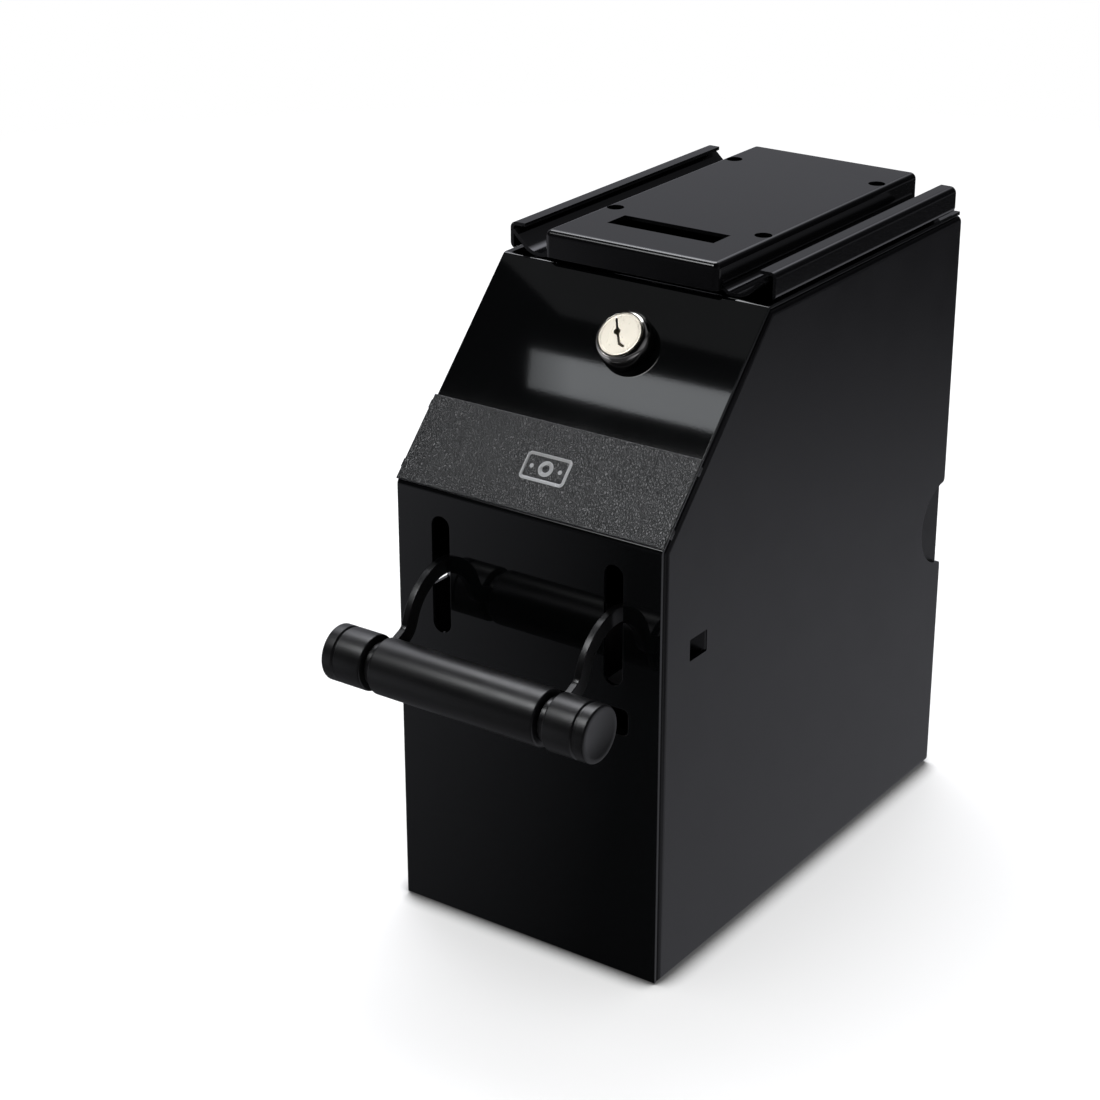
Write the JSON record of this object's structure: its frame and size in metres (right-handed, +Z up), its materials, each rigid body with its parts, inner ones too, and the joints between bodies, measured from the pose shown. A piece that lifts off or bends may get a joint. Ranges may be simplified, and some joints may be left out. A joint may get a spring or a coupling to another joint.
{
  "type": "under-counter note safe",
  "caption": "Upright sheet-metal note safe with sloped top, lever handle, note slot, cam lock and a slide-in under-counter mounting bracket.",
  "frame": {"origin": "under the middle of the whole depth from the front of the handle to the rear of the bracket, in the middle of the width, at the level of the bottom flanges; the front panel's plane is at Y -0.0735", "axes": "+X to the right seen from the front, +Y from the front panel towards the back, +Z up"},
  "size_m": [0.1024, 0.2292, 0.2244],
  "materials": {
    "gloss_shell": "gloss black powder coat",
    "satin_panel": "satin black powder coat",
    "grained_plate": "leather-grain textured black coat",
    "inner_paint": "satin black powder coat",
    "arm_paint": "semi-gloss black",
    "handle": "satin black",
    "bright_nickel": "polished nickel",
    "satin_nickel": "satin nickel",
    "zinc_steel": "zinc plated",
    "spring_steel": "oiled spring steel",
    "bearing_nylon": "natural nylon"
  },
  "bodies": {
    "housing": {"wrap_shell": "gloss_shell", "base_panel": "inner_paint", "name_plate": "grained_plate", "note_chute": "zinc_steel", "left_side_pan": "satin_panel", "right_side_pan": "satin_panel", "left_rail": "satin_panel", "right_rail": "satin_panel", "left_pivot_bracket": "zinc_steel", "right_pivot_bracket": "zinc_steel", "left_pivot_bush": "bearing_nylon", "right_pivot_bush": "bearing_nylon", "lock_housing": "bright_nickel", "lock_nut": "zinc_steel"},
    "lever": {"pivot_shaft": "zinc_steel", "shutter_plate": "zinc_steel", "left_shutter_screw": "zinc_steel", "right_shutter_screw": "zinc_steel", "left_lever_arm": "arm_paint", "right_lever_arm": "arm_paint", "left_return_spring": "spring_steel", "right_return_spring": "spring_steel", "left_shaft_clip": "spring_steel", "right_shaft_clip": "spring_steel", "tie_rod": "zinc_steel", "grip_tube": "handle", "left_knob": "handle", "right_knob": "handle"},
    "lock": {"lock_plug": "satin_nickel", "lock_cam": "zinc_steel", "cam_washer": "zinc_steel", "cam_screw": "zinc_steel"},
    "bracket": {"mount_bracket": "satin_panel"},
    "tray": {"note_tray": "inner_paint", "tray_lock_bar": "zinc_steel", "left_bar_rivet": "zinc_steel", "right_bar_rivet": "zinc_steel"}
  },
  "joints": [
    {"name": "lever_swing", "type": "hinge", "parent": "housing", "child": "lever", "pos_m": [0, -0.0515, 0.112], "axis": [1, 0, 0], "range_deg": [-36, 40]},
    {"name": "lock_turn", "type": "hinge", "parent": "housing", "child": "lock", "pos_m": [0.0088, -0.03, 0.19737], "axis": [0, 0.7233, -0.6905], "range_deg": [0, 90]},
    {"name": "bracket_slide", "type": "slide", "parent": "housing", "child": "bracket", "axis": [0, 1, 0], "range_m": [0, 0.135]},
    {"name": "tray_slide", "type": "slide", "parent": "housing", "child": "tray", "axis": [0, 1, 0], "range_m": [0, 0.165]}
  ]
}
